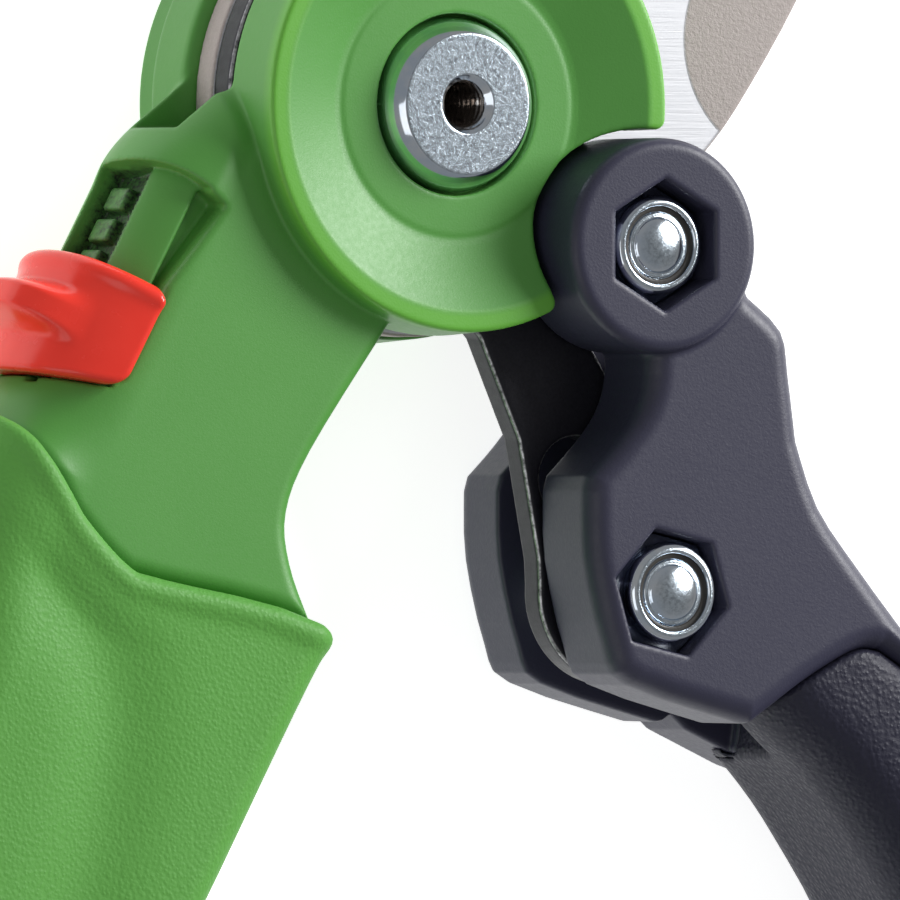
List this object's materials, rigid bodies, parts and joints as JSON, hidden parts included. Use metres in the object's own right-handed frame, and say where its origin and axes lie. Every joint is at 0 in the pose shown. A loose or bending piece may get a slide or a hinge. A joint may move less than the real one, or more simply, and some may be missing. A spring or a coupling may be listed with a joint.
{
  "type": "pruning shears",
  "caption": "Compound-lever bypass pruning shears with a dished pivot head, a forked lever handle driving the blade tail, and a sliding thumb lock.",
  "frame": {"origin": "on the main pivot's axis, on the cutting plane between blade and counter jaw", "axes": "+Z along the pivot axes towards the nut side, +Y towards the jaws, +X towards the lever handle; drawn open"},
  "size_m": [0.1614, 0.215, 0.0264],
  "materials": {
    "green_plastic": "fine spark-eroded moulding texture, satin",
    "green_grip": "leather-grained soft moulding, matt",
    "coated_jaw": "non-stick coated with a ground bearing face",
    "black_steel": "black oxide with worn bright edges",
    "zinc_steel": "zinc plated, bright",
    "spring_steel": "oiled",
    "bronze": "sintered",
    "red_plastic": "gloss",
    "black_plastic": "fine spark-eroded moulding texture, matt",
    "black_grip": "coarse leather-grained soft moulding, matt",
    "nylon": "satin"
  },
  "bodies": {
    "body": {"handle_body": "green_plastic", "handle_grip": "green_grip", "counter_jaw": "coated_jaw", "fulcrum_bush": "bronze", "pivot_sleeve": "zinc_steel", "pivot_screw": "zinc_steel", "pivot_spring_washer": "spring_steel", "detent_spring": "spring_steel"},
    "blade": {"blade": "black_steel", "blade_bush": "bronze"},
    "lock": {"lock_slider": "red_plastic", "lock_bar": "black_steel"},
    "lever": {"lever_fork": "black_plastic", "lever_grip": "black_grip", "fork_bolts": "zinc_steel", "lock_nuts": "zinc_steel", "nut_inserts": "nylon", "fulcrum_spacer": "zinc_steel", "fulcrum_washer": "zinc_steel", "drive_sleeve": "spring_steel", "drive_spacer": "zinc_steel", "return_spring": "spring_steel"}
  },
  "joints": [
    {"name": "lever_hinge", "type": "hinge", "parent": "body", "child": "lever", "pos_m": [0.0184, -0.0127, 0], "axis": [0, 0, -1], "range_deg": [0, 42], "stiffness_Nm_per_rad": 0.6, "springref_deg": -11.46, "deforming": ["return_spring"]},
    {"name": "blade_hinge", "type": "hinge", "parent": "body", "child": "blade", "pos_m": [0, 0, 0], "axis": [0, 0, -1], "range_deg": [0, 26.7]},
    {"name": "lock_slide", "type": "slide", "parent": "body", "child": "lock", "axis": [0.4848, 0.8746, 0], "range_m": [0, 0.009]}
  ],
  "couplings": [
    {"joint": "blade_hinge", "follows": "lever_hinge", "ratio": 0.63476}
  ]
}
